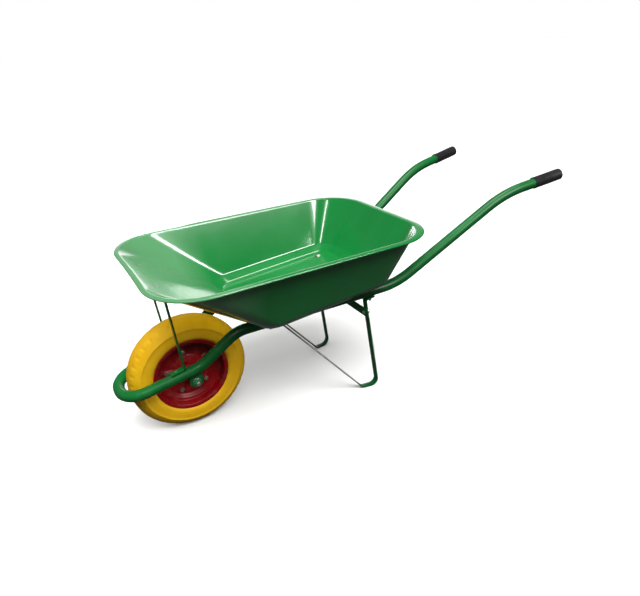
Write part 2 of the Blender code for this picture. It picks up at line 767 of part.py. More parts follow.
def main():
    for existing in list(bpy.data.objects):
        bpy.data.objects.remove(existing, do_unlink=True)
    finishes = {
        "tray": make_material("tray_enamel", (0.020, 0.235, 0.060), 0.25, 0.0),
        "green": make_material("frame_enamel", (0.017, 0.190, 0.050), 0.35, 0.0),
        "grip": make_material("grip_plastic", (0.012, 0.012, 0.013), 0.60, 0.0),
        "tyre": make_material("tyre_foam", (0.640, 0.380, 0.015), 0.60, 0.0),
        "rim": make_material("rim_enamel", (0.110, 0.002, 0.005), 0.30, 0.0),
        "zinc": make_material("zinc_steel", (0.560, 0.560, 0.540), 0.38, 1.0),
        "bearing": make_material("bearing_steel", (0.600, 0.600, 0.610), 0.25, 1.0),
        "cover": make_material("cover_plastic", (0.010, 0.010, 0.011), 0.50, 0.0),
    }
    frame = bpy.data.objects.new("frame_origin", None)
    bpy.context.collection.objects.link(frame)
    frame.location = (axle_x, 0, 0)
    tube = build_frame_tube(finishes["green"], frame)
    tray = build_tray(finishes["tray"], frame)
    brace = build_brace(finishes["green"], frame)
    for side, sign in sides.items():
        build_side(side, sign, tube, tray, brace, finishes, frame)
    build_axle(finishes, frame)
    build_wheel(finishes)


main()
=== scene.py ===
import json
import random
from functools import partial
from math import atan2, ceil, cos, degrees, hypot, pi, radians, sin, tan

import bmesh
import bpy
from mathutils import Matrix, Quaternion, Vector


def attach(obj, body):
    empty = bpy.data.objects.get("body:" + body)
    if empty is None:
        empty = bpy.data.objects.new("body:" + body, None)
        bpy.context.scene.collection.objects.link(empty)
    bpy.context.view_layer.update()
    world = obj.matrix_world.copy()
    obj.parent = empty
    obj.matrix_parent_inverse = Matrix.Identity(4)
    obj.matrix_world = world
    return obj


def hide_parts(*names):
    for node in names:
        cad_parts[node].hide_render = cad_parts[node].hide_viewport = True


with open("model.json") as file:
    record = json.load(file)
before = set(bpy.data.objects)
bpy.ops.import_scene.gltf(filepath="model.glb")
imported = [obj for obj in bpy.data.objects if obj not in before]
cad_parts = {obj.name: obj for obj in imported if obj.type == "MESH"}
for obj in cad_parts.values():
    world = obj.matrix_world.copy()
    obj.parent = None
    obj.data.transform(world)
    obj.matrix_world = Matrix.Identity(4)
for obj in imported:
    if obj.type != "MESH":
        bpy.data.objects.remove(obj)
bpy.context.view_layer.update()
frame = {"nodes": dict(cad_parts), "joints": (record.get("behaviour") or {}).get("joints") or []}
print("frame loaded")

axle = Vector(frame["joints"][0]["pos_m"])
sides = {"left": -1, "right": 1}  # as the person pushing sees them
upward = Vector((0, 0, 1))


# ---- small helpers

def srgb(hexText):
    # screen colour to the linear one that shaders want
    parts = [int(hexText[i:i + 2], 16) / 255 for i in (1, 3, 5)]
    return tuple(p / 12.92 if p <= 0.04045 else ((p + 0.055) / 1.055) ** 2.4 for p in parts) + (1,)


def perMetre(millimetres):
    # pattern scale for features of this size on Object coordinates
    return 1000 / millimetres


def setMode(mode):
    bpy.ops.object.mode_set(mode=mode)


def deselectAll():
    if bpy.context.object and bpy.context.object.mode != "OBJECT":
        setMode("OBJECT")
    bpy.ops.object.select_all(action="DESELECT")


def selectOnly(piece):
    deselectAll()
    piece.select_set(True)
    bpy.context.view_layer.objects.active = piece


def onAxle(x, y, z):
    # x is measured back from the axle, y from the middle, z up from the ground
    return Vector((axle.x + x, y, z))


def newest(name):
    piece = bpy.context.object
    piece.name = name
    return piece


def outlineLoop(name, points, filled=False):
    # a circle primitive whose corners are pulled to the points of an outline
    deselectAll()
    bpy.ops.mesh.primitive_circle_add(vertices=len(points), fill_type="NGON" if filled else "NOTHING")
    piece = newest(name)
    for vert, point in zip(piece.data.vertices, points):
        vert.co = point
    return piece


def editAll():
    setMode("EDIT")
    bpy.ops.mesh.select_all(action="SELECT")


def closeEdit():
    # every face turned outwards, then back to object mode
    bpy.ops.mesh.select_all(action="SELECT")
    bpy.ops.mesh.normals_make_consistent(inside=False)
    setMode("OBJECT")


def pullAcross(width):
    # gives a filled outline its width along Y
    editAll()
    bpy.ops.mesh.extrude_region_move(TRANSFORM_OT_translate={"value": (0, width, 0)})
    closeEdit()


def turnPiece(name, profile, steps):
    # a closed (radius, height) outline spun round the Z axis
    piece = outlineLoop(name, [Vector((radius, 0, height)) for radius, height in profile])
    editAll()
    bpy.ops.mesh.spin(steps=steps, angle=2 * pi, center=(0, 0, 0), axis=(0, 0, 1))
    bpy.ops.mesh.select_all(action="SELECT")
    bpy.ops.mesh.remove_doubles(threshold=1e-6)
    bpy.ops.mesh.dissolve_degenerate(threshold=1e-6)
    closeEdit()
    return piece


def wrapSheet(name, rows):
    # a grid primitive wrapped so that each row of points is a closed ring round the piece
    around = len(rows[0]) + 1
    deselectAll()
    bpy.ops.mesh.primitive_grid_add(x_subdivisions=around - 1, y_subdivisions=len(rows) - 1, size=1)
    piece = newest(name)
    for index, vert in enumerate(piece.data.vertices):
        row = rows[index // around]
        vert.co = row[index % around % len(row)]
    editAll()
    bpy.ops.mesh.remove_doubles(threshold=1e-6)
    setMode("OBJECT")
    return piece


def applyAll(piece):
    selectOnly(piece)
    for modifier in list(piece.modifiers):
        bpy.ops.object.modifier_apply(modifier=modifier.name)


def soften(piece, width, segments=2, angle=30):
    # rolled or deburred edges
    bevel = piece.modifiers.new("edges", "BEVEL")
    bevel.width = width
    bevel.segments = segments
    bevel.limit_method = "ANGLE"
    bevel.angle_limit = radians(angle)
    bevel.harden_normals = False
    applyAll(piece)


def standAt(piece, at, direction, turn=0):
    # moves a piece made on the Z axis to its place, with its own Z along direction
    spin = Matrix.Rotation(turn, 4, "Z")
    rotation = Vector(direction).to_track_quat("Z", "Y").to_matrix().to_4x4()
    piece.data.transform(Matrix.Translation(at) @ rotation @ spin)
    piece.data.update()


def dress(piece, body, material, nodes=(), smooth=35):
    selectOnly(piece)
    bpy.ops.object.shade_smooth_by_angle(angle=radians(smooth))
    piece.data.materials.clear()
    piece.data.materials.append(material)
    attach(piece, body)
    if nodes:
        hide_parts(*nodes)
    return piece


def painted(piece, *nodes):
    dress(piece, "frame", frameEnamel, nodes, 40)


def plated(piece, node, smooth=35, body="frame"):
    dress(piece, body, zincPlate, [node], smooth)


def joinPieces(name, parts):
    deselectAll()
    for part in parts:
        part.select_set(True)
    bpy.context.view_layer.objects.active = parts[0]
    bpy.ops.object.join()
    parts[0].name = name
    return parts[0]


def bendAt(before, corner, after, radius):
    # the arc that rounds a corner: its centre, first spoke, hinge and turn
    back = (before - corner).normalized()
    ahead = (after - corner).normalized()
    halfAngle = back.angle(ahead) / 2
    centre = corner + (back + ahead).normalized() * radius / sin(halfAngle)
    spoke = corner + back * radius / tan(halfAngle) - centre
    return centre, spoke, ahead.cross(back), pi - 2 * halfAngle


def bentPath(corners, degreesPerStep):
    # straight runs joined by arcs; each corner is a point and its bend radius
    points = [corners[0][0]]
    for (before, _), (corner, radius), (after, _) in zip(corners, corners[1:], corners[2:]):
        centre, spoke, hinge, turn = bendAt(before, corner, after, radius)
        steps = max(3, ceil(degrees(turn) / degreesPerStep))
        points += [centre + Quaternion(hinge, turn * step / steps) @ spoke for step in range(steps + 1)]
    points.append(corners[-1][0])
    return points


def smoothStep(low, high, value):
    share = min(max((value - low) / (high - low), 0), 1)
    return share * share * (3 - 2 * share)


# ---- materials

def addNode(material, kind, inputs=None, settings=None, ramp=None):
    # one node; an input is a value, or the socket or node that feeds it
    tree = material.node_tree
    node = tree.nodes.new("ShaderNode" + kind)
    for key, value in (settings or {}).items():
        setattr(node, key, value)
    if ramp:
        elements = node.color_ramp.elements
        while len(elements) < len(ramp):
            elements.new(0.5)
        for element, (place, colour) in zip(elements, ramp):
            element.position = place
            element.color = colour
    for key, value in (inputs or {}).items():
        if isinstance(value, bpy.types.Node):
            value = value.outputs[0]
        if isinstance(value, bpy.types.NodeSocket):
            tree.links.new(value, node.inputs[key])
        else:
            node.inputs[key].default_value = value
    return node


times = {"operation": "MULTIPLY"}
colourMix = {"data_type": "RGBA"}


def newMaterial(name):
    material = bpy.data.materials.new(name)
    material.use_nodes = True
    material.node_tree.nodes.clear()
    add = partial(addNode, material)
    return material, add, add("TexCoord").outputs["Object"]


def closeMaterial(material, shader):
    addNode(material, "OutputMaterial", {"Surface": shader})
    return material


def grey(value):
    return (value, value, value, 1)


sprayed = {"cloudMm": 90, "dustMm": 40, "dust": 0.08, "scratchMm": 40, "scratch": 0.05, "roughness": 0.36,
    "waveMm": 60, "waveStrength": 0.02, "peel": 0.10, "coat": 0.06, "gloss": 0.5, "film": 0}


def enamel(name, ownLook):
    # sprayed and baked enamel: deep even colour, faint orange peel, the sheet's own slight waviness under it
    look = {**sprayed, **ownLook}
    material, add, place = newMaterial(name)
    cloud = add("TexNoise", {
        "Vector": place, "Scale": perMetre(look["cloudMm"]), "Detail": 3, "Roughness": 0.55})
    body = add("ValToRGB", {"Fac": cloud}, ramp=((0.30, srgb(look["deep"])), (0.72, srgb(look["bright"]))))
    # fine dust that settles in patches and greys the gloss a little
    dustPatch = add("TexNoise", {
        "Vector": place, "Scale": perMetre(look["dustMm"]), "Detail": 8, "Roughness": 0.7})
    dust = add("ValToRGB", {"Fac": dustPatch}, ramp=((0.50, grey(0)), (0.78, grey(look["dust"]))))
    dusty = add("Mix", {"Factor": dust, "A": body, "B": srgb("#8C9A86")}, colourMix)
    # hair-fine handling scratches, seen only in the gloss
    stretched = add("Mapping", {"Vector": place, "Rotation": (0, 0, radians(24)), "Scale": (1, 14, 5)})
    hairs = add("TexNoise", {"Vector": stretched, "Scale": perMetre(look["scratchMm"]), "Detail": 5,
        "Roughness": 0.75})
    scratch = add("ValToRGB", {"Fac": hairs}, ramp=((0.62, grey(0)), (0.70, grey(1))))
    rougher = add("Math", {0: scratch, 1: look["scratch"]}, times)
    dull = add("Math", {0: dust, 1: 0.9}, times)
    wear = add("Math", {0: rougher, 1: dull}, {"operation": "ADD"})
    rough = add("Math", {0: wear, 1: look["roughness"]}, {"operation": "ADD", "use_clamp": True})
    wave = add("TexNoise", {
        "Vector": place, "Scale": perMetre(look["waveMm"]), "Detail": 1, "Roughness": 0.4})
    slow = add("Bump", {"Height": wave, "Strength": look["waveStrength"], "Distance": 0.006})
    peel = add("TexNoise", {"Vector": place, "Scale": perMetre(5)})
    fine = add("Bump", {"Height": peel, "Strength": look["peel"], "Distance": 0.0004, "Normal": slow})
    finish = dusty.outputs[2]
    if "veil" in look:
        # paler ahead of one line across the piece: on the tray a painted haze, a painted reflection where the
        # front slope is seen at a grazing angle; on the legs paler grey-brown patches on the strut
        veil = look["veil"]
        apart = add("SeparateXYZ", {"Vector": place})
        amount = add("MapRange", {
            "Value": apart.outputs["X"], "From Min": veil["end"], "From Max": veil["end"] - veil["fade"],
            "To Min": 0, "To Max": veil["most"]})
        if "patches" in veil:
            patchy = add("ValToRGB", {"Fac": dustPatch}, ramp=(
                (0.25, grey(veil["patches"])), (0.65, grey(0.95))))
            amount = add("Math", {0: amount, 1: patchy}, times)
        finish = add("Mix", {"Factor": amount, "A": finish, "B": srgb(veil["colour"])},
            colourMix).outputs[2]
    return closeMaterial(material, add("BsdfPrincipled", {"Base Color": finish,
        "Roughness": rough, "Normal": fine, "IOR": 1.45, "Specular IOR Level": look["gloss"],
        "Coat Weight": look["coat"], "Coat Roughness": 0.06, "Coat IOR": 1.5,
        "Sheen Weight": look["film"], "Sheen Roughness": 0.4}))


# the tray's pale veil over the front slope is painted reflection, a painted haze, not wear
trayEnamel = enamel("greenTrayEnamelSprayed", {
    "deep": "#107E36", "bright": "#15893E", "cloudMm": 160, "dustMm": 70, "dust": 0.03, "scratchMm": 60,
    "scratch": 0.03, "roughness": 0.18, "waveMm": 95, "waveStrength": 0.10, "peel": 0.08, "coat": 0.6,
    "film": 0.07, "veil": {"end": axle.x + 0.17, "fade": 0.10, "most": 0.2, "colour": "#BFE3C2"}})
frameEnamel = enamel("greenTubeEnamelSprayed", {
    "deep": "#0C652A", "bright": "#107232", "waveStrength": 0.03, "gloss": 0.32})
# darker green bar; ahead of the line the strut end is patched paler grey-brown
legEnamel = enamel("greenLegEnamelPaleStrut", {
    "deep": "#0A5226", "bright": "#0D5C2C", "dustMm": 20, "dust": 0.10, "scratch": 0.10,
    "roughness": 0.30, "coat": 0.1,
    "veil": {"end": axle.x + 0.508, "fade": 0.02, "most": 1, "patches": 0.55, "colour": "#B7AFA8"}})
rimEnamel = enamel("darkRedRimEnamel", {
    "deep": "#700309", "bright": "#84040D", "cloudMm": 50, "dustMm": 22, "dust": 0.12, "scratchMm": 30,
    "waveMm": 40, "coat": 0.05, "gloss": 0.32})


def foamTyre():
    # moulded polyurethane foam: satin skin, fine pores, road dust rubbed into the tread
    material, add, place = newMaterial("yellowTyreFoamMoulded")
    mottle = add("TexNoise", {"Vector": place, "Scale": perMetre(28), "Detail": 5, "Roughness": 0.6})
    skin = add("ValToRGB", {"Fac": mottle}, ramp=(
        (0.28, srgb("#D6A210")), (0.50, srgb("#DAA813")), (0.75, srgb("#E0B11A"))))
    # the tread is the only part of the tyre far from the axle
    centred = add("Mapping", {"Vector": place, "Location": tuple(-axle)})
    apart = add("SeparateXYZ", {"Vector": centred})
    flat = add("CombineXYZ", {"X": apart.outputs["X"], "Z": apart.outputs["Z"]})
    reach = add("VectorMath", {0: flat}, {"operation": "LENGTH"})
    nearTread = add("MapRange", {
        "Value": reach.outputs["Value"], "From Min": 0.168, "From Max": 0.176, "To Min": 0, "To Max": 0.25})
    grime = add("TexNoise", {"Vector": place, "Scale": perMetre(14), "Detail": 7, "Roughness": 0.7})
    grimeMask = add("Math", {0: grime, 1: nearTread}, times)
    soiled = add("Mix", {"Factor": grimeMask, "A": skin, "B": srgb("#6E5A30")}, colourMix)
    pores = add("TexNoise", {"Vector": place, "Scale": perMetre(2.5), "Detail": 3, "Roughness": 0.6})
    skinBump = add("Bump", {"Height": pores, "Strength": 0.22, "Distance": 0.0005})
    rough = add("MapRange", {
        "Value": mottle, "From Min": 0.3, "From Max": 0.7, "To Min": 0.50, "To Max": 0.62})
    return closeMaterial(material, add("BsdfPrincipled", {"Base Color": soiled.outputs[2], "Roughness": rough,
        "Normal": skinBump, "IOR": 1.48, "Specular IOR Level": 0.28}))


def fineSurface(name, look):
    # cloudy tint and gloss over a fine grain
    material, add, place = newMaterial(name)
    patch = add("TexNoise", {
        "Vector": place, "Scale": perMetre(look["patchMm"]), "Detail": 5, "Roughness": 0.65})
    tint = add("ValToRGB", {"Fac": patch}, ramp=(
        (look["tintFrom"], srgb(look["deep"])), (look["tintFrom"] + 0.40, srgb(look["bright"]))))
    rough = add("MapRange", {"Value": patch, "From Min": 0.3, "From Max": 0.7, "To Min": look["rough"][0],
        "To Max": look["rough"][1]})
    grainMm, detail, coarse = look["grain"]
    grain = add("TexNoise", {
        "Vector": place, "Scale": perMetre(grainMm), "Detail": detail, "Roughness": coarse})
    bump = add("Bump", {"Height": grain, "Strength": look["depth"], "Distance": 0.0003})
    return closeMaterial(material, add("BsdfPrincipled", {
        "Base Color": tint, "Metallic": look["metallic"], "Roughness": rough, "Normal": bump}))


tyreFoam = foamTyre()
# moulded PVC: near black, satin, with a fine spark-eroded grain
pvc = {"patchMm": 18, "tintFrom": 0.35, "grain": (1.2, 2, 0.5), "depth": 0.25, "metallic": 0.0}
gripPvc = fineSurface("blackGripPvcMoulded", {
    **pvc, "deep": "#151517", "bright": "#2A2A2D", "rough": (0.36, 0.50)})
coverPvc = fineSurface("blackHubCoverMoulded", {
    **pvc, "deep": "#0E0E10", "bright": "#1E1E20", "rough": (0.44, 0.58)})
# zinc plate and ground steel: cloudy grey metal with small bright and dull patches
steel = {"patchMm": 6, "tintFrom": 0.30, "grain": (1.5, 3, 0.6), "depth": 0.18, "metallic": 1.0}
zincPlate = fineSurface("zincPlatedSteel", {
    **steel, "deep": "#A6A8A2", "bright": "#DADBD4", "rough": (0.36, 0.52)})
bearingSteel = fineSurface("bearingSteelGround", {
    **steel, "deep": "#9A9C9E", "bright": "#CFD1D3", "rough": (0.20, 0.36)})
greenFixings = enamel("greenPaintedFixings", {
    "deep": "#176B3A", "bright": "#23854C", "cloudMm": 14, "dustMm": 9, "dust": 0.2, "scratchMm": 9,
    "scratch": 0.2, "roughness": 0.3, "waveMm": 12, "peel": 0.3, "coat": 0.2})
print("materials made")


# ---- tray: one pressed pan with coved floor edges, a flat flange and a rolled lip

tray = {"front": -0.124, "length": 0.841, "width": 0.566, "rearNarrowing": 0.008, "rimRise": 0.343,
    "rimSlope": 0.015, "flange": 0.022, "sideFlange": 0.018, "frontFlange": 0.014, "lip": 0.003,
    "frontRadius": 0.150, "rearRadius": 0.135, "mouthRearRadius": 0.130,
    "bow": 0.008, "floorFront": 0.182, "floorRear": 0.585, "floorHalf": 0.183, "floorRadius": 0.048,
    "floorRise": 0.134, "floorSlope": 0.0925, "cove": 0.021, "sheet": 0.0012,
    "floorBend": 0.014, "wallBend": 0.018, "mouthBend": 0.004}


def floorUnderside(x):
    return axle.z + tray["floorRise"] + tray["floorSlope"] * x


def rimLevel(x):
    return axle.z + tray["rimRise"] + tray["rimSlope"] * x


def trayRing(front, rear, halfFront, halfRear, radiusFront, radiusRear, bow, level):
    # rounded outline with the same count of points round each corner and along each side
    cornerSteps, sideSteps = 22, 14
    points = []
    corners = ((front + radiusFront, halfFront - radiusFront, radiusFront, 90),
        (front + radiusFront, -halfFront + radiusFront, radiusFront, 180),
        (rear - radiusRear, -halfRear + radiusRear, radiusRear, 270),
        (rear - radiusRear, halfRear - radiusRear, radiusRear, 0))
    for index, (x, y, radius, start) in enumerate(corners):
        for step in range(cornerSteps + 1):
            angle = radians(start + 90 * step / cornerSteps)
            points.append([x + radius * cos(angle), y + radius * sin(angle)])
        after = corners[(index + 1) % 4]
        angle = radians(after[3])
        target = (after[0] + after[2] * cos(angle), after[1] + after[2] * sin(angle))
        last = list(points[-1])
        for step in range(1, sideSteps):
            share = step / sideSteps
            points.append([last[0] + (target[0] - last[0]) * share, last[1] + (target[1] - last[1]) * share])
    ring = []
    for x, y in points:
        nearness = max(0.0, 1 - (x - front) / radiusFront)
        x += bow * nearness * max(0.0, 1 - (y / halfFront) ** 2)
        ring.append(onAxle(x, y, level(x)))
    return ring


def mouthRing(atMouth):
    # the flange is narrower at the front and along the sides than at the rear
    front, side, rear = (tray[key] * atMouth for key in ("frontFlange", "sideFlange", "flange"))
    rearRadius = tray["rearRadius"] + atMouth * (tray["mouthRearRadius"] - tray["rearRadius"])
    return trayRing(tray["front"] + front, tray["front"] + tray["length"] - rear,
        tray["width"] / 2 - side, tray["width"] / 2 - tray["rearNarrowing"] - side,
        tray["frontRadius"] - (front + side) / 2, rearRadius, tray["bow"], rimLevel)


def floorRing(grow, rise):
    radius = max(tray["floorRadius"] + grow * 0.6, 0.012)
    return trayRing(tray["floorFront"] - grow, tray["floorRear"] + grow, tray["floorHalf"] + grow,
        tray["floorHalf"] + grow, radius, radius, 0,
        lambda x: floorUnderside(x) + tray["sheet"] * hypot(1, tray["floorSlope"]) + rise)


def makeTray():
    inner = floorRing(-0.030, 0)
    floorEdge = floorRing(0, 0)
    crease = floorRing(tray["cove"], tray["cove"])
    mouth = mouthRing(0.94)
    edge = mouthRing(0)
    strands = []
    for start, low, high, top, out in zip(inner, floorEdge, crease, mouth, edge):
        outward = (out - top)
        outward.z = 0
        outward.normalize()
        lipTop = out - outward * tray["lip"]
        # a fixed number of points in each bend and up the wall
        corners = [start, low, high, top, lipTop]
        radii = [0, tray["floorBend"], tray["wallBend"], tray["mouthBend"], 0]
        strand = [start]
        for index in (1, 2, 3):
            centre, spoke, hinge, turn = bendAt(*corners[index - 1:index + 2], radii[index])
            arc = [centre + Quaternion(hinge, turn * step / 6) @ spoke for step in range(7)]
            if index == 3:  # rows up the wall, so that its corners turn smoothly
                last = strand[-1].copy()
                shares = (0.12, 0.25, 0.38, 0.51, 0.64, 0.77, 0.90, 0.975)
                strand += [last.lerp(arc[0], share) for share in shares]
            strand += arc
        hub = lipTop - upward * tray["lip"]
        for step in range(9):
            angle = radians(90 - 26 * step)
            strand.append(hub + tray["lip"] * (outward * cos(angle) + upward * sin(angle)))
        strands.append(strand)
    rows = [[strand[row] for strand in strands] for row in range(len(strands[0]))]
    piece = wrapSheet("trayPan", rows)
    # close the floor
    setMode("EDIT")
    bpy.ops.mesh.select_all(action="DESELECT")
    setMode("OBJECT")
    ringSpots = {tuple(round(c, 5) for c in point) for point in rows[0]}
    for vert in piece.data.vertices:
        vert.select = tuple(round(c, 5) for c in vert.co) in ringSpots
    setMode("EDIT")
    bpy.ops.mesh.select_mode(type="VERT")
    bpy.ops.mesh.edge_face_add()
    closeEdit()
    floor = min(piece.data.polygons, key=lambda face: face.center.z)
    if floor.normal.z < 0:
        editAll()
        bpy.ops.mesh.flip_normals()
        setMode("OBJECT")
    wall = piece.modifiers.new("sheet", "SOLIDIFY")
    wall.thickness = tray["sheet"]
    wall.offset = -1
    wall.use_even_offset = True
    applyAll(piece)
    return dress(piece, "frame", trayEnamel, ["tray"], smooth=50)


makeTray()
print("tray made")


# ---- frame tube and grips

tube = {"radius": 0.016, "spread": 0.145, "half": 0.0745, "hoopHalf": 0.068, "hoopFront": -0.1978,
    "hoopBend": 0.064, "frontX": 0.019, "frontBend": 0.10, "underFrontX": 0.128, "underRearX": 0.635,
    "rearBend": 0.22, "handleBend": 0.35, "handleBendX": 1.0074, "handleBendZ": 0.582, "endX": 1.2194,
    "endY": 0.246, "endZ": 0.617, "axleDrop": 0.0235, "hoopSlope": 0.20, "gap": 0.0003}


def tubeY(x):
    return tube["half"] + tube["spread"] * x


def besideWheelY(x):
    share = (x - tube["hoopFront"]) / (tube["frontX"] - tube["hoopFront"])
    return tube["hoopHalf"] + share * (tubeY(tube["frontX"]) - tube["hoopHalf"])


def tubeUnderFloor(x):
    return floorUnderside(x) - (tube["radius"] + tube["gap"]) * hypot(1, tray["floorSlope"])


def hoopAxis(x):
    return axle.z + tube["radius"] + tube["axleDrop"] + tube["hoopSlope"] * x


def tubeHalf(sign):
    underFront, underRear, bendX = tube["underFrontX"], tube["underRearX"], tube["handleBendX"]
    return [(onAxle(tube["endX"], sign * tube["endY"], tube["endZ"]), 0),
        (onAxle(bendX, sign * tubeY(bendX), tube["handleBendZ"]), tube["handleBend"]),
        (onAxle(underRear, sign * tubeY(underRear), tubeUnderFloor(underRear)), tube["rearBend"]),
        (onAxle(underFront, sign * tubeY(underFront), tubeUnderFloor(underFront)), tube["frontBend"]),
        (onAxle(tube["frontX"], sign * tubeY(tube["frontX"]), hoopAxis(tube["frontX"])), tube["frontBend"]),
        (onAxle(tube["hoopFront"], sign * tube["hoopHalf"], hoopAxis(tube["hoopFront"])), tube["hoopBend"])]


def sweepTube(name, path, radius, resolution=6):
    deselectAll()
    bpy.ops.curve.primitive_bezier_curve_add()
    piece = newest(name)
    piece.data.splines.clear()
    spline = piece.data.splines.new("POLY")
    spline.points.add(len(path) - 1)
    for point, place in zip(spline.points, path):
        point.co = (*place, 1)
        point.radius = 1
    piece.data.bevel_depth = radius
    piece.data.bevel_resolution = resolution
    piece.data.use_fill_caps = True
    piece.location = (0, 0, 0)
    piece.rotation_euler = (0, 0, 0)
    bpy.ops.object.convert(target="MESH")
    return bpy.context.object


def makeTube():
    path = bentPath(tubeHalf(-1) + list(reversed(tubeHalf(1))), 4)
    piece = sweepTube("frameTube", path, tube["radius"], 10)
    painted(piece, "frame_tube")


makeTube()

grip = {"length": 0.102, "bore": 0.0163, "outside": 0.0188, "end": 0.0040, "round": 0.0037}


def makeGrips():
    bore, outside, length = grip["bore"], grip["outside"], grip["length"]
    profile = [(bore, -length), (outside - 0.0006, -length), (outside, -length + 0.0007)]
    # shallow ring where the sleeve's mouth is thickened
    profile += [(outside, -length + 0.004), (outside - 0.0005, -length + 0.0048)]
    profile += [(outside - 0.0005, -0.0006)]
    for step in range(9):
        angle = radians(90 * step / 8)
        profile.append((outside - 0.0005 - grip["round"] * (1 - cos(angle)),
            grip["end"] - grip["round"] * (1 - sin(angle))))
    profile += [(0.004, grip["end"]), (0, grip["end"]), (0, 0.0004), (bore, 0.0004)]
    for side, sign in sides.items():
        end, bend = tubeHalf(sign)[0][0], tubeHalf(sign)[1][0]
        piece = turnPiece(f"grip{side.title()}", profile, 48)
        standAt(piece, end, end - bend)
        dress(piece, "frame", gripPvc, [f"grip_{side}"], smooth=40)


makeGrips()
print("tube and grips made")


# ---- flat-bar pieces: legs, brace, stays and axle plates

leg = {"width": 0.018, "thick": 0.005, "topX": 0.527, "heelX": 0.572, "toeX": 0.518, "strutX": 0.262,
    "tab": 0.030, "strutTab": 0.040, "heelBend": 0.022, "toeBend": 0.016, "tabBend": 0.010}
brace = {"height": 0.030, "thick": 0.004, "overhang": 0.018, "drop": 0.047}
stay = {"width": 0.020, "thick": 0.004, "topX": -0.052, "topY": 0.084, "footX": -0.028, "tab": 0.040,
    "bend": 0.008, "wallGap": 0.0006}
plate = {"width": 0.038, "thick": 0.005}


def legCorners():
    def tabHeight(x):
        below = tube["radius"] + tube["gap"] + leg["thick"] / 2
        return tubeUnderFloor(x) - below * hypot(1, tray["floorSlope"])

    foot = leg["thick"] / 2
    spots = [(leg["topX"] + leg["tab"], tabHeight(leg["topX"] + leg["tab"]), 0),
        (leg["topX"], tabHeight(leg["topX"]), leg["tabBend"]),
        (leg["heelX"], foot, leg["heelBend"]), (leg["toeX"], foot, leg["toeBend"]),
        (leg["strutX"], tabHeight(leg["strutX"]), leg["tabBend"]),
        (leg["strutX"] - leg["strutTab"], tabHeight(leg["strutX"] - leg["strutTab"]), 0)]
    return [(onAxle(x, 0, z), radius) for x, z, radius in spots]


def bendBar(name, corners, thick, width, centreY):
    # flat bar: its edge drawn in the side view, then pulled across to its width
    path = bentPath(corners, 7)
    outline = []
    for sign in (1, -1):
        edge = []
        for index, point in enumerate(path):
            along = (path[min(index + 1, len(path) - 1)] - path[max(index - 1, 0)]).normalized()
            edge.append(point + sign * thick / 2 * Vector((-along.z, 0, along.x)))
        outline += edge[::sign]
    piece = outlineLoop(name, outline, filled=True)
    pullAcross(width)
    for vert in piece.data.vertices:
        vert.co.y += centreY(vert.co) - width / 2
    soften(piece, 0.0007, 2, 40)
    return piece


def braceSeat():
    top, heel = legCorners()[1][0], legCorners()[2][0]
    down = (heel - top).normalized()
    return top + down * brace["drop"], down, Vector((down.z, 0, -down.x))


def makeLegs():
    for side, sign in sides.items():
        piece = bendBar(f"leg{side.title()}", legCorners(), leg["thick"], leg["width"],
            lambda point: sign * tubeY(point.x - axle.x))
        dress(piece, "frame", legEnamel, [f"leg_{side}"], smooth=40)
    onLeg, down, front = braceSeat()
    middle = onLeg + front * (leg["thick"] / 2 + tube["gap"] + brace["thick"] / 2)
    half = tubeY(onLeg.x - axle.x) + brace["overhang"]
    deselectAll()
    bpy.ops.mesh.primitive_plane_add(size=1)
    bar = newest("legBrace")
    editAll()
    bpy.ops.transform.resize(value=(brace["height"], 2 * half, 1))
    bpy.ops.mesh.bevel(offset=0.006, segments=5, affect="VERTICES")
    bpy.ops.mesh.extrude_region_move(TRANSFORM_OT_translate={"value": (0, 0, brace["thick"])})
    closeEdit()
    bar.data.transform(Matrix.Translation((0, 0, -brace["thick"] / 2)))
    turn = Matrix((tuple(down), (0, 1, 0), tuple(front))).transposed().to_4x4()
    bar.data.transform(Matrix.Translation(middle) @ turn)
    soften(bar, 0.0006, 2, 40)
    painted(bar, "leg_brace")


def frontWall(x, y):
    # a point on the inside of the tray's front wall and its direction up the slope
    creaseX = tray["floorFront"] - tray["cove"]
    crease = onAxle(creaseX, 0, floorUnderside(creaseX) + tray["sheet"] * hypot(1, tray["floorSlope"])
        + tray["cove"])
    bow = tray["bow"] * (1 - (y / (tray["width"] / 2 - tray["sideFlange"])) ** 2)
    topX = tray["front"] + tray["frontFlange"] + bow
    along = (onAxle(topX, 0, rimLevel(topX) - 0.006) - crease).normalized()
    return crease + along * (x - creaseX) / along.x, along


def stayShape():
    wall, along = frontWall(stay["topX"], stay["topY"])
    under = Vector((-along.z, 0, along.x))
    if under.z > 0:
        under = -under
    topBend = wall + under * (tray["sheet"] + stay["wallGap"] + stay["thick"] / 2)
    lean = hypot(1, tube["hoopSlope"])

    def footPoint(x):
        return onAxle(x, 0, hoopAxis(x) + (tube["radius"] + tube["gap"] + stay["thick"] / 2) * lean)

    corners = [(topBend + along * stay["tab"], 0), (topBend, stay["bend"]),
        (footPoint(stay["footX"]), stay["bend"]), (footPoint(stay["footX"] - stay["tab"]), 0)]
    return corners, wall, along, under


def makeStays():
    corners, wall, along, under = stayShape()
    top, foot = corners[1][0], corners[2][0]
    footY = besideWheelY(stay["footX"] - stay["tab"] / 2)
    for side, sign in sides.items():
        def centreY(point):
            share = min(max((point.z - foot.z - stay["thick"]) / (top.z - foot.z), 0), 1)
            return sign * (footY + share * (stay["topY"] - footY))

        piece = bendBar(f"stay{side.title()}", corners, stay["thick"], stay["width"], centreY)
        painted(piece, f"stay_{side}")


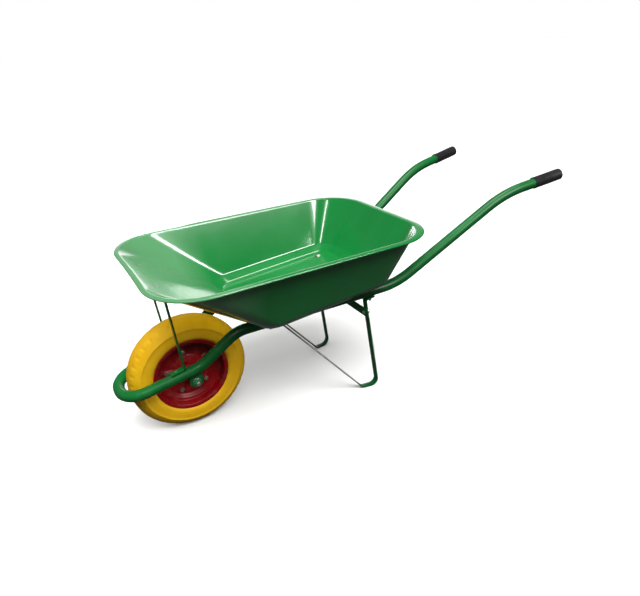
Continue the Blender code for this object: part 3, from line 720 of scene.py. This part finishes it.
def makePlates():
    half = plate["width"] / 2
    seat = (tube["radius"] + tube["gap"]) * hypot(1, tube["hoopSlope"])
    outline = [onAxle(x, 0, hoopAxis(x) - seat) for x in (half, -half)]
    for step in range(25):
        angle = pi + pi * step / 24
        outline.append(onAxle(half * cos(angle), 0, axle.z + half * sin(angle)))
    for side, sign in sides.items():
        piece = outlineLoop(f"axlePlate{side.title()}", outline, filled=True)
        middle = sign * besideWheelY(0)
        pullAcross(plate["thick"])
        piece.data.transform(Matrix.Translation((0, middle - plate["thick"] / 2, 0)))
        soften(piece, 0.0007, 2, 40)
        painted(piece, f"axle_bracket_{side}")
        # weld beads along both edges of the plate's top
        random.seed(7)
        beads = []
        for face in (-1, 1):
            path = []
            for step in range(25):
                x = -half + plate["width"] * step / 24
                wobble = 0.0004 * sin(step * 2.4) + random.uniform(-0.0001, 0.0001)
                path.append(onAxle(x, middle + face * (plate["thick"] / 2 + 0.0008 + wobble),
                    hoopAxis(x) - seat + 0.0004))
            bead = sweepTube(f"weld{face}", path, 0.0026, 3)
            for vert in bead.data.vertices:
                ripple = 1 + 0.14 * sin((vert.co.x - axle.x) * 2 * pi / 0.0031)
                centre = Vector((vert.co.x, middle + face * (plate["thick"] / 2 + 0.0008),
                    hoopAxis(vert.co.x - axle.x) - seat + 0.0004))
                vert.co = centre + (vert.co - centre) * ripple
            beads.append(bead)
        weld = joinPieces(f"axlePlateWeld{side.title()}", beads)
        dress(weld, "frame", frameEnamel, smooth=60)


makeLegs()
makeStays()
makePlates()
print("flat bars made")


# ---- fixings

fixing = {"shank": 0.004, "corner": 0.0075, "nutHigh": 0.0065, "headHigh": 0.0053, "cup": 0.0095,
    "cupHigh": 0.0045, "rivetHead": 0.0064, "rivetHigh": 0.0018, "rivetBody": 0.0032}


def hexPiece(name, corner, high, bore):
    # hexagon with its corners turned off, as nuts and bolt heads have, and a bore if there is one
    deselectAll()
    bpy.ops.mesh.primitive_cylinder_add(vertices=6, radius=corner, depth=high, end_fill_type="NGON",
        location=(0, 0, high / 2))
    piece = newest(name)
    bpy.ops.object.transform_apply(location=True, rotation=True, scale=True)
    editAll()
    bpy.ops.mesh.subdivide(number_cuts=3)
    setMode("OBJECT")
    flat = corner * cos(pi / 6)
    for vert in piece.data.vertices:
        reach = vert.co.xy.length
        if vert.co.z > high * 0.98 and reach > flat * 0.97:
            vert.co.z -= (reach - flat * 0.97) * 0.6
    if bore:
        deselectAll()
        bpy.ops.mesh.primitive_cylinder_add(vertices=32, radius=bore, depth=high * 4)
        drill = bpy.context.object
        cut = piece.modifiers.new("bore", "BOOLEAN")
        cut.operation = "DIFFERENCE"
        cut.object = drill
        cut.solver = "EXACT"
        applyAll(piece)
        bpy.data.objects.remove(drill)
    soften(piece, 0.00035, 2, 25)
    return piece


def threadedShank(name, radius, low, high):
    # turned shank with rolled thread near its end
    pitch = 0.00125
    plain = low + (0.022 if high - low > 0.03 else 0.012)
    profile = [(0, high), (radius, high), (radius, plain)]
    z = plain - pitch
    while z > low + 0.0012:
        profile += [(radius * 0.86, z + pitch / 2), (radius, z)]
        z -= pitch
    profile += [(radius * 0.8, low + 0.0002), (radius * 0.72, low), (0, low)]
    return turnPiece(name, profile, 24)


def addShank(name, head, at, direction, grip):
    reach = grip + fixing["nutHigh"] + fixing["shank"]
    bolt = joinPieces(name, [head, threadedShank(name + "Shank", fixing["shank"], -reach, 0.001)])
    standAt(bolt, at, -Vector(direction))
    return bolt


def cupBolt(name, at, direction, grip):
    # domed head with its shank below
    radius, high = fixing["cup"], fixing["cupHigh"]
    profile = [(0, high)]
    for step in range(1, 9):
        angle = radians(90 * step / 8)
        profile.append((radius * sin(angle), high * cos(angle) * 0.92 + high * 0.08))
    profile += [(radius - 0.0002, 0), (0, 0)]
    return addShank(name, turnPiece(name + "Dome", profile, 40), at, direction, grip)


def hexBolt(name, at, direction, grip):
    head = hexPiece(name + "Head", fixing["corner"], fixing["headHigh"], 0)
    return addShank(name, head, at, direction, grip)


def hexNut(name, at, direction, turn=0.0):
    nut = hexPiece(name, fixing["corner"], fixing["nutHigh"], fixing["shank"] + 0.0002)
    standAt(nut, at, direction, turn)
    return nut


def blindRivet(name, at, direction, grip):
    # domed flange with the dimple of the snapped stem
    radius, high, body = fixing["rivetHead"], fixing["rivetHigh"], fixing["rivetBody"]
    end = -(grip + 2 * body)
    profile = [(0, high * 0.45), (radius * 0.22, high * 0.5), (radius * 0.30, high),
        (radius * 0.55, high * 0.92), (radius * 0.85, high * 0.55), (radius, high * 0.15), (radius, 0),
        (body, 0), (body, end), (0, end)]
    rivet = turnPiece(name, profile, 32)
    standAt(rivet, at, -Vector(direction))
    return rivet


def makeFixings():
    gap, bite = tube["gap"], 0.0015  # how far a rivet reaches into the tube's wall
    floorUp = Vector((-tray["floorSlope"], 0, 1)).normalized()
    hoopUp = Vector((-tube["hoopSlope"], 0, 1)).normalized()
    _, wall, along, under = stayShape()
    for side, sign in sides.items():
        tag = side.title()
        boltX = leg["topX"] + leg["tab"] / 2
        onTube = onAxle(boltX, sign * tubeY(boltX), tubeUnderFloor(boltX))
        above = tube["radius"] + 2 * gap + tray["sheet"]
        below = tube["radius"] + 2 * gap + leg["thick"]
        plated(cupBolt(f"legBolt{tag}", onTube + floorUp * above, -floorUp, above + below),
            f"leg_bolt_{side}", 40)
        plated(hexNut(f"legNut{tag}", onTube - floorUp * below, -floorUp, 0.2), f"leg_nut_{side}")
        rivetX = leg["strutX"] - leg["strutTab"] / 2
        onTube = onAxle(rivetX, sign * tubeY(rivetX), tubeUnderFloor(rivetX))
        rivet = blindRivet(f"strutRivet{tag}", onTube - floorUp * below, floorUp, leg["thick"] + bite)
        dress(rivet, "frame", greenFixings, [f"strut_rivet_{side}"], 40)
        middle, _, front = braceSeat()
        middle.y = sign * tubeY(middle.x - axle.x)
        before = leg["thick"] / 2 + 2 * gap + brace["thick"]
        behind = leg["thick"] / 2 + gap
        plated(hexBolt(f"braceBolt{tag}", middle + front * before, -front, before + behind),
            f"brace_bolt_{side}")
        plated(hexNut(f"braceNut{tag}", middle - front * behind, -front, 0.4), f"brace_nut_{side}")
        boltPoint = wall + along * stay["tab"] / 2
        boltPoint.y = sign * stay["topY"]
        grip = tray["sheet"] + 2 * stay["wallGap"] + stay["thick"]
        plated(cupBolt(f"stayBolt{tag}", boltPoint - under * 3 * gap, under, grip), f"stay_bolt_{side}", 40)
        plated(hexNut(f"stayNut{tag}", boltPoint + under * grip, under, 0.3), f"stay_nut_{side}")
        rivetX = stay["footX"] - stay["tab"] / 2
        onHoop = onAxle(rivetX, sign * besideWheelY(rivetX), hoopAxis(rivetX))
        reach = tube["radius"] + 2 * gap + stay["thick"]
        rivet = blindRivet(f"stayRivet{tag}", onHoop + hoopUp * reach, -hoopUp, stay["thick"] + bite)
        dress(rivet, "frame", greenFixings, [f"stay_rivet_{side}"], 40)


makeFixings()
print("fixings made")


# ---- axle and wheel

wheel = {"tyreRadius": 0.175, "tyreHalf": 0.041, "seat": 0.1005, "flange": 0.1115, "rimHalf": 0.0375,
    "sheet": 0.002, "cupRadius": 0.0163, "bearingIn": 0.0135, "bearingWide": 0.010, "gap": 0.0003,
    "flatStart": 0.052, "well": 0.0125, "boltCircle": 0.065, "bolts": 5, "firstBolt": 28,
    "axleRadius": 0.006, "sleeve": 0.010}


def makeAxle():
    outerFace = besideWheelY(0) + plate["thick"] / 2
    innerFace = besideWheelY(0) - plate["thick"] / 2
    radius, gap = wheel["axleRadius"], wheel["gap"]
    half = outerFace + 0.0025 + 0.010 + 3 * gap + 0.004
    thread = []
    z = half - 0.0012
    while z > half - 0.019:
        thread += [(radius, z), (radius * 0.88, z - 0.000875)]
        z -= 0.00175
    one = [(0, half), (radius - 0.001, half)] + thread + [(radius, z)]
    profile = one + [(r, -h) for r, h in reversed(one)]
    rod = turnPiece("axleRod", profile, 32)
    standAt(rod, axle, (0, 1, 0))
    plated(rod, "axle", 40)
    for side, sign in sides.items():
        tag = side.title()
        across = Vector((0, sign, 0))
        start = outerFace + gap
        washer = turnPiece(f"axleWasher{tag}", [
            (radius + 0.0005, start), (0.0122, start), (0.0125, start + 0.0004), (0.0125, start + 0.0021),
            (0.0121, start + 0.0025), (radius + 0.0005, start + 0.0025)], 40)
        standAt(washer, axle, across)
        plated(washer, f"axle_washer_{side}", 40)
        nut = hexPiece(f"axleNut{tag}", 0.0109, 0.010, radius + gap)
        standAt(nut, axle + across * (start + 0.0025 + gap), across, 0.25)
        dress(nut, "frame", greenFixings, [f"axle_nut_{side}"])
        low = wheel["bearingIn"] + wheel["bearingWide"] + gap
        high = innerFace - gap
        sleeve = turnPiece(f"axleSleeve{tag}", [
            (radius + gap, low), (wheel["sleeve"], low), (wheel["sleeve"], high - 0.0005),
            (wheel["sleeve"] - 0.0005, high), (radius + gap, high)], 40)
        standAt(sleeve, axle, across)
        plated(sleeve, f"axle_sleeve_{side}", 40)


def arcPoints(centre, radius, start, end, steps):
    angles = [radians(start + (end - start) * step / steps) for step in range(steps + 1)]
    return [(centre[0] + radius * cos(a), centre[1] + radius * sin(a)) for a in angles]


def makeTyre():
    # round foam section with a raised ring on each sidewall and a ribbed, notched tread
    bore = wheel["seat"] + 0.0008 + 2 * wheel["gap"]
    bead = wheel["rimHalf"] - 0.005
    half, outer, flange = wheel["tyreHalf"], wheel["tyreRadius"], wheel["flange"]
    side = [(bore, 0.012), (bore, bead), (flange - 0.0003, bead + 0.0022), (flange + 0.0005, bead + 0.0034),
        (flange + 0.0030, bead + 0.0056), (flange + 0.0070, half - 0.0010), (flange + 0.0130, half - 0.0002),
        (flange + 0.0200, half), (flange + 0.0280, half - 0.0002), (flange + 0.0335, half - 0.0007)]
    # raised ring
    side += [(flange + 0.0345, half - 0.0003), (flange + 0.0360, half - 0.0001),
        (flange + 0.0380, half - 0.0006), (flange + 0.0390, half - 0.0014)]
    crown = []
    for step in range(1, 15):
        share = step / 14
        radius = flange + 0.0390 + (outer - flange - 0.0390) * sin(share * pi / 2) ** 0.92
        across = (half - 0.0014) * (1 - share) ** 0.62
        crown.append((radius, across))
    side += crown
    # fine profile across the tread, then grooves cut into it
    dense = [side[0]]
    for before, after in zip(side, side[1:]):
        pieces = max(1, ceil(hypot(after[0] - before[0], after[1] - before[1]) / 0.0016))
        if before[0] < 0.160:
            pieces = 1
        stretch = (after[0] - before[0], after[1] - before[1])
        dense += [(before[0] + stretch[0] * k / pieces, before[1] + stretch[1] * k / pieces)
            for k in range(1, pieces + 1)]
    profile = dense + [(r, -a) for r, a in reversed(dense[:-1])]
    tyre = turnPiece("tyreBody", profile, 360)
    for vert in tyre.data.vertices:
        reach = vert.co.xy.length
        if reach < 0.160:
            continue
        across = abs(vert.co.z)
        angle = degrees(atan2(vert.co.y, vert.co.x)) % 360
        cut = 0.0
        for groove in (0.0, 0.0125):
            cut = max(cut, 0.0016 * (1 - smoothStep(0.0010, 0.0022, abs(across - groove))))
        # shoulder notches, staggered side to side
        turn = (angle + (5 if vert.co.z > 0 else 0)) % 10
        notch = 1 - smoothStep(1.0, 1.7, abs(turn - 5))
        shoulder = smoothStep(0.0165, 0.0185, across) * (1 - smoothStep(0.0290, 0.0310, across))
        cut = max(cut, 0.0012 * notch * shoulder)
        vert.co.xy *= (reach - cut) / reach
    standAt(tyre, axle, (0, 1, 0))
    dress(tyre, "wheel", tyreFoam, ["tyre"], 60)


def makeRims():
    sheet, gap = wheel["sheet"], wheel["gap"]
    cup, cupEnd = wheel["cupRadius"], wheel["bearingIn"] + wheel["bearingWide"] + gap
    face = sheet + gap
    seatIn = wheel["seat"] - sheet
    flangeIn = wheel["rimHalf"] - 0.0025
    lip = 0.0135
    well, flat, flange, half = (wheel[key] for key in ("well", "flatStart", "flange", "rimHalf"))
    visible = [(lip, cupEnd + sheet)]
    visible += arcPoints((cup + sheet - 0.002, cupEnd + sheet - 0.002), 0.002, 90, 0, 4)
    visible += [(cup + sheet, wheel["bearingIn"] + 0.004)]
    visible += arcPoints((cup + sheet + 0.003, wheel["bearingIn"] + 0.0035), 0.003, 180, 245, 4)
    coneStart = visible[-1]
    flatPoint = (flat, face)
    rows = 12
    visible += [(coneStart[0] + (flatPoint[0] - coneStart[0]) * k / rows,
        coneStart[1] + (flatPoint[1] - coneStart[1]) * k / rows) for k in range(1, rows)]
    visible += [(flat - 0.002, face + 0.0004), (flat + 0.002, face)]
    visible += [(flat + 0.002 + 0.002 * k, face) for k in range(1, 13)]
    visible += [(0.0800, face + 0.0002), (0.0822, face + 0.0014), (0.0850, face + 0.0042),
        (0.0876, face + 0.0072), (0.0900, face + 0.0090), (0.0925, well - 0.0004), (0.0950, well + 0.0001),
        (0.0970, well + 0.0008), (seatIn - 0.0006, well + 0.0022), (seatIn + 0.0002, well + 0.0050),
        (seatIn + 0.0008, flangeIn - 0.003)]
    visible += arcPoints((seatIn + 0.0048, flangeIn - 0.0022), 0.0038, 180, 100, 6)
    visible += [(flange - 0.0022, half - 0.0003)]
    visible += arcPoints((flange - 0.0010, half - 0.0010), 0.0010, 90, 0, 4)
    # the hidden side keeps to the stiffened section
    hidden = [(flange, half - sheet), (wheel["seat"] + 0.0008, flangeIn - 0.0015),
        (wheel["seat"], well - sheet), (0.0942, well - sheet - 0.0012),
        (0.0805, gap), (0.0515, gap), (cup, wheel["bearingIn"] - 0.0015), (cup, cupEnd), (lip, cupEnd)]
    profile = visible + hidden
    for side, sign in sides.items():
        rim = turnPiece(f"rim{side.title()}", profile, 240)
        # the right rim is turned round, so its angles run the other way
        spots = [wheel["firstBolt"] + 72 * k for k in range(wheel["bolts"])]
        edges = [radians(180 - spot if sign > 0 else spot) for spot in spots]
        for vert in rim.data.vertices:
            reach = vert.co.xy.length
            if vert.co.z < gap + 0.0008 or not 0.021 < reach < 0.082:
                continue
            angle = atan2(vert.co.y, vert.co.x)
            best = min(abs((angle - edge + pi) % (2 * pi) - pi) for edge in edges)
            off = reach * sin(min(best, pi / 2))
            if best > radians(60):
                continue
            ridge = 1 - smoothStep(0.0042, 0.0088, off)
            run = smoothStep(0.024, 0.034, reach) * (1 - smoothStep(0.068, 0.080, reach))
            vert.co.z += 0.0034 * ridge * run
        across = Vector((0, sign, 0))
        standAt(rim, axle, across)
        dress(rim, "wheel", rimEnamel, [f"rim_{side}"], 50)
        start = cupEnd + sheet + 2 * gap
        cover = turnPiece(f"hubCover{side.title()}", [
            (wheel["sleeve"] + 0.0004, start), (0.0213, start), (0.0215, start + 0.0004)]
            + arcPoints((0.0190, start + 0.0020), 0.0025, 0, 90, 6)
            + [(0.0140, start + 0.0045), (0.0135, start + 0.0040), (0.0120, start + 0.0040),
            (0.0116, start + 0.0045), (wheel["sleeve"] + 0.0004, start + 0.0045)], 64)
        standAt(cover, axle, across)
        dress(cover, "wheel", coverPvc, [f"hub_cover_{side}"], 40)


def makeRimBolts():
    onRib = wheel["sheet"] + 2 * wheel["gap"] + 0.0030
    across = Vector((0, onRib, 0))
    for index in range(wheel["bolts"]):
        angle, number = radians(wheel["firstBolt"] + 72 * index), index + 1
        at = axle + Vector((wheel["boltCircle"] * cos(angle), 0, wheel["boltCircle"] * sin(angle)))
        bolt = hexBolt(f"rimBolt{number}", at - across, (0, 1, 0), 2 * onRib)
        plated(bolt, f"rim_bolt_{number}", body="wheel")
        nut = hexNut(f"rimNut{number}", at + across, (0, 1, 0), index * 0.7)
        plated(nut, f"rim_nut_{number}", body="wheel")


makeAxle()
makeTyre()
makeRims()
makeRimBolts()
for name, node in frame["nodes"].items():
    if name.startswith("bearing"):
        for slotIndex in range(len(node.material_slots)):
            node.material_slots[slotIndex].material = bearingSteel
print("wheel made")


# ---- floor, light and camera

def makeFloor():
    material, add, place = newMaterial("paleStudioFloor")
    tone = add("TexNoise", {"Vector": place, "Scale": 3.0, "Detail": 3})
    colour = add("ValToRGB", {"Fac": tone}, ramp=((0.3, srgb("#EFEFEE")), (0.7, srgb("#F2F2F1"))))
    shader = add("BsdfPrincipled", {"Base Color": colour, "Roughness": 0.75, "IOR": 1.3})
    closeMaterial(material, shader)
    deselectAll()
    bpy.ops.mesh.primitive_plane_add(size=60)
    floor = newest("studioFloor")
    floor.data.materials.append(material)
    # the object is lit and reflected as if it stood on darker ground
    floor.visible_diffuse = False
    floor.visible_glossy = False


def makeWorld():
    # dim room with one bright wall behind; the backdrop itself is plain white
    look = {"room": 0.12, "ground": 0.08, "wall": 2.8, "wallAzimuth": 66}
    world = bpy.data.worlds.new("studioRoom")
    bpy.context.scene.world = world
    world.use_nodes = True
    world.node_tree.nodes.clear()
    add = partial(addNode, world)
    flat = radians(look["wallAzimuth"])
    place = add("TexCoord").outputs["Generated"]
    facing = add("VectorMath", {0: place, 1: (cos(flat), sin(flat), 0)},
        {"operation": "DOT_PRODUCT"}).outputs["Value"]
    height = add("SeparateXYZ", {"Vector": place}).outputs["Z"]
    fades = {"level": (height, -0.1, 0.1, look["ground"], look["room"]),
        "wall": (facing, 0.84, 0.97, 0, look["wall"]), "top": (height, 0.16, 0.36, 1, 0.06),
        "foot": (height, -0.06, 0.0, 0, 1)}
    for key, (source, lowEdge, highEdge, low, high) in fades.items():
        fades[key] = add("MapRange", {
            "Value": source, "From Min": lowEdge, "From Max": highEdge, "To Min": low, "To Max": high},
            {"interpolation_type": "SMOOTHSTEP"})
    glow = add("Math", {0: fades["wall"], 1: fades["top"]}, times)
    grounded = add("Math", {0: glow, 1: fades["foot"]}, times)
    total = add("Math", {0: grounded, 1: fades["level"]})
    room = add("Background", {"Strength": total})
    backdrop = add("Background", {"Strength": 1.0, "Color": (1, 1, 1, 1)})
    ray = add("LightPath")
    pick = add("MixShader", {0: ray, 1: room, 2: backdrop})
    add("OutputWorld", {"Surface": pick})


def skyward(azimuth, elevation):
    # azimuth 0 is towards +X, 90 towards +Y
    flat, steep = radians(azimuth), radians(elevation)
    return Vector((cos(flat) * cos(steep), sin(flat) * cos(steep), sin(steep)))


def hangLamp(name, kind, azimuth, elevation, power):
    data = bpy.data.lights.new(name, kind)
    data.energy = power
    lamp = bpy.data.objects.new(name, data)
    bpy.context.collection.objects.link(lamp)
    lamp.rotation_euler = skyward(azimuth, elevation).to_track_quat("Z", "Y").to_euler()
    return lamp


def addSun(name, azimuth, elevation, spread, strength):
    # large far lamps; their own reflection is left to the softboxes
    lamp = hangLamp(name, "SUN", azimuth, elevation, strength)
    lamp.data.angle = radians(spread)
    lamp.visible_glossy = False
    return lamp


def addSoftbox(name, azimuth, elevation, distance, size, power, aim=(-0.2, 0, 0.4), glossOnly=True):
    lamp = hangLamp(name, "AREA", azimuth, elevation, power)
    lamp.data.shape = "RECTANGLE"
    lamp.data.size, lamp.data.size_y = size
    lamp.location = Vector(aim) + skyward(azimuth, elevation) * distance
    lamp.visible_diffuse = not glossOnly
    return lamp


def makeCamera():
    view = {"lens": 31.235, "place": (-0.8461, -1.4074, 1.0656), "yaw": 29.518, "pitch": 25.84,
        "roll": -2.166}
    data = bpy.data.cameras.new("frontLeftCamera")
    data.sensor_width = 36
    data.lens = view["lens"]
    camera = bpy.data.objects.new("frontLeftCamera", data)
    bpy.context.collection.objects.link(camera)
    yaw, pitch, roll = (radians(view[key]) for key in ("yaw", "pitch", "roll"))
    forward = Vector((sin(yaw) * cos(pitch), cos(yaw) * cos(pitch), -sin(pitch)))
    right = Vector((cos(yaw), -sin(yaw), 0))
    turn = Matrix((right, right.cross(forward), -forward)).transposed().to_4x4()
    camera.matrix_world = Matrix.Translation(view["place"]) @ turn @ Matrix.Rotation(roll, 4, "Z")
    bpy.context.scene.camera = camera


makeFloor()
makeWorld()
addSun("keySun", -100, 65, 45, 4.2)
addSun("leftSun", 170, 50, 60, 0.7)
floorFill = addSun("floorFill", 0, 89, 160, 1.9)
groundPieces = bpy.data.collections.new("groundPieces")
groundPieces.objects.link(bpy.data.objects["studioFloor"])
floorFill.light_linking.receiver_collection = groundPieces
addSoftbox("rightWindow", -66, 32.5, 3.0, (1.45, 0.50), 62)
addSoftbox("cameraStrip", -123, 35, 3.0, (0.20, 0.70), 14)
addSoftbox("overheadStrip", -10, 76, 2.6, (0.55, 1.3), 42)
addSoftbox("backWindow", 84, 10, 3.0, (0.40, 0.20), 5)
# the wheel stands in the tray's shade, so it has its own fill from both sides
wheelPieces = bpy.data.collections.new("wheelPieces")
for name in ("tyreBody", "rimLeft", "rimRight"):
    wheelPieces.objects.link(bpy.data.objects[name])
for side, azimuth, power in (("left", -62, 28), ("right", 98, 16)):
    fill = addSoftbox(f"wheelFill{side.title()}", azimuth, 48, 2.2, (0.9, 0.9), power, tuple(axle), False)
    fill.visible_glossy = False
    fill.light_linking.receiver_collection = wheelPieces
    fill.light_linking.blocker_collection = wheelPieces
bpy.context.scene.view_settings.view_transform = "Standard"
makeCamera()
print("studio made")
